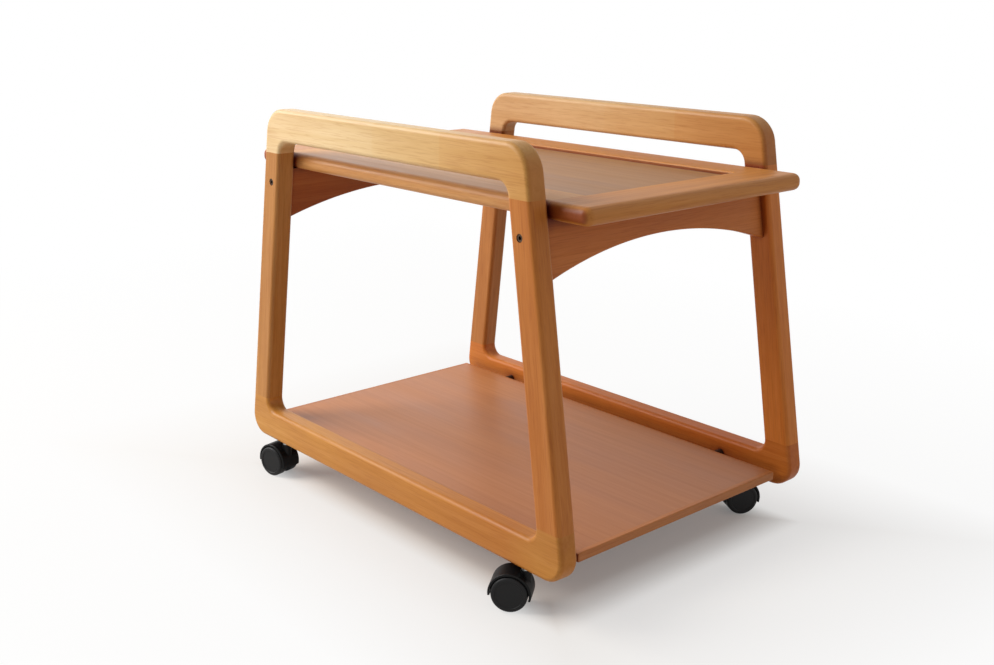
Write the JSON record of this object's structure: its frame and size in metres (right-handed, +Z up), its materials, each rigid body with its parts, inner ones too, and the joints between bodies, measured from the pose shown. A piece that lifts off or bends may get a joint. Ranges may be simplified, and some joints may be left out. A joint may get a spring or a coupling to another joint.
{
  "type": "tea trolley",
  "caption": "Low wooden tea trolley with closed splayed side frames, a tray top with a raised border, a lower shelf and hooded twin-wheel swivel casters.",
  "frame": {"origin": "on the floor, under the middle of the trolley", "axes": "+Z up, +X along the trolley to its front end, +Y across it to its left side frame"},
  "size_m": [0.758, 0.567, 0.6141],
  "materials": {
    "solid_teak": "satin varnished teak, warm orange brown",
    "teak_veneer": "satin varnished teak veneer, a little redder",
    "beech": "plain beech, hidden in the joints",
    "blackened_steel": "black oxide",
    "zinc_plated_steel": "dull zinc plate",
    "black_nylon": "moulded black nylon, low sheen"
  },
  "bodies": {
    "trolley": {"right_handle": "solid_teak", "right_bottom_rail": "solid_teak", "right_front_leg": "solid_teak", "right_rear_leg": "solid_teak", "left_handle": "solid_teak", "left_bottom_rail": "solid_teak", "left_front_leg": "solid_teak", "left_rear_leg": "solid_teak", "front_apron": "solid_teak", "rear_apron": "solid_teak", "top_front_band": "solid_teak", "top_rear_band": "solid_teak", "top_left_band": "solid_teak", "top_right_band": "solid_teak", "top_panel": "teak_veneer", "shelf_panel": "teak_veneer", "shelf_front_lipping": "solid_teak", "shelf_rear_lipping": "solid_teak", "shelf_left_lipping": "solid_teak", "shelf_right_lipping": "solid_teak", "frame_dowels": "beech", "apron_bolts": "blackened_steel", "apron_barrel_nuts": "zinc_plated_steel", "apron_dowels": "beech", "top_splines": "beech", "top_screws": "zinc_plated_steel", "shelf_pins": "zinc_plated_steel", "shelf_spacers": "black_nylon", "front_right_socket": "zinc_plated_steel", "front_right_stem": "zinc_plated_steel", "rear_right_socket": "zinc_plated_steel", "rear_right_stem": "zinc_plated_steel", "front_left_socket": "zinc_plated_steel", "front_left_stem": "zinc_plated_steel", "rear_left_socket": "zinc_plated_steel", "rear_left_stem": "zinc_plated_steel"},
    "front_right_caster": {"front_right_caster_body": "black_nylon", "front_right_axle": "zinc_plated_steel"},
    "front_right_outer_wheel": {"front_right_outer_wheel": "black_nylon"},
    "front_right_inner_wheel": {"front_right_inner_wheel": "black_nylon"},
    "rear_right_caster": {"rear_right_caster_body": "black_nylon", "rear_right_axle": "zinc_plated_steel"},
    "rear_right_outer_wheel": {"rear_right_outer_wheel": "black_nylon"},
    "rear_right_inner_wheel": {"rear_right_inner_wheel": "black_nylon"},
    "front_left_caster": {"front_left_caster_body": "black_nylon", "front_left_axle": "zinc_plated_steel"},
    "front_left_outer_wheel": {"front_left_outer_wheel": "black_nylon"},
    "front_left_inner_wheel": {"front_left_inner_wheel": "black_nylon"},
    "rear_left_caster": {"rear_left_caster_body": "black_nylon", "rear_left_axle": "zinc_plated_steel"},
    "rear_left_outer_wheel": {"rear_left_outer_wheel": "black_nylon"},
    "rear_left_inner_wheel": {"rear_left_inner_wheel": "black_nylon"}
  },
  "joints": [
    {"name": "front_right_swivel", "type": "hinge", "parent": "trolley", "child": "front_right_caster", "pos_m": [0.2985, -0.2395, 0.062], "axis": [0, 0, 1], "continuous": true},
    {"name": "front_right_outer_wheel_spin", "type": "hinge", "parent": "front_right_caster", "child": "front_right_outer_wheel", "pos_m": [0.28274, -0.25181, 0.025], "axis": [0.6157, -0.788, 0], "continuous": true},
    {"name": "front_right_inner_wheel_spin", "type": "hinge", "parent": "front_right_caster", "child": "front_right_inner_wheel", "pos_m": [0.28274, -0.25181, 0.025], "axis": [0.6157, -0.788, 0], "continuous": true},
    {"name": "rear_right_swivel", "type": "hinge", "parent": "trolley", "child": "rear_right_caster", "pos_m": [-0.2985, -0.2395, 0.062], "axis": [0, 0, 1], "continuous": true},
    {"name": "rear_right_outer_wheel_spin", "type": "hinge", "parent": "rear_right_caster", "child": "rear_right_outer_wheel", "pos_m": [-0.31806, -0.24366, 0.025], "axis": [0.2079, -0.9781, 0], "continuous": true},
    {"name": "rear_right_inner_wheel_spin", "type": "hinge", "parent": "rear_right_caster", "child": "rear_right_inner_wheel", "pos_m": [-0.31806, -0.24366, 0.025], "axis": [0.2079, -0.9781, 0], "continuous": true},
    {"name": "front_left_swivel", "type": "hinge", "parent": "trolley", "child": "front_left_caster", "pos_m": [0.2985, 0.2395, 0.062], "axis": [0, 0, 1], "continuous": true},
    {"name": "front_left_outer_wheel_spin", "type": "hinge", "parent": "front_left_caster", "child": "front_left_outer_wheel", "pos_m": [0.2885, 0.22218, 0.025], "axis": [0.866, -0.5, 0], "continuous": true},
    {"name": "front_left_inner_wheel_spin", "type": "hinge", "parent": "front_left_caster", "child": "front_left_inner_wheel", "pos_m": [0.2885, 0.22218, 0.025], "axis": [0.866, -0.5, 0], "continuous": true},
    {"name": "rear_left_swivel", "type": "hinge", "parent": "trolley", "child": "rear_left_caster", "pos_m": [-0.2985, 0.2395, 0.062], "axis": [0, 0, 1], "continuous": true},
    {"name": "rear_left_outer_wheel_spin", "type": "hinge", "parent": "rear_left_caster", "child": "rear_left_outer_wheel", "pos_m": [-0.31426, 0.25181, 0.025], "axis": [-0.6157, -0.788, 0], "continuous": true},
    {"name": "rear_left_inner_wheel_spin", "type": "hinge", "parent": "rear_left_caster", "child": "rear_left_inner_wheel", "pos_m": [-0.31426, 0.25181, 0.025], "axis": [-0.6157, -0.788, 0], "continuous": true}
  ]
}
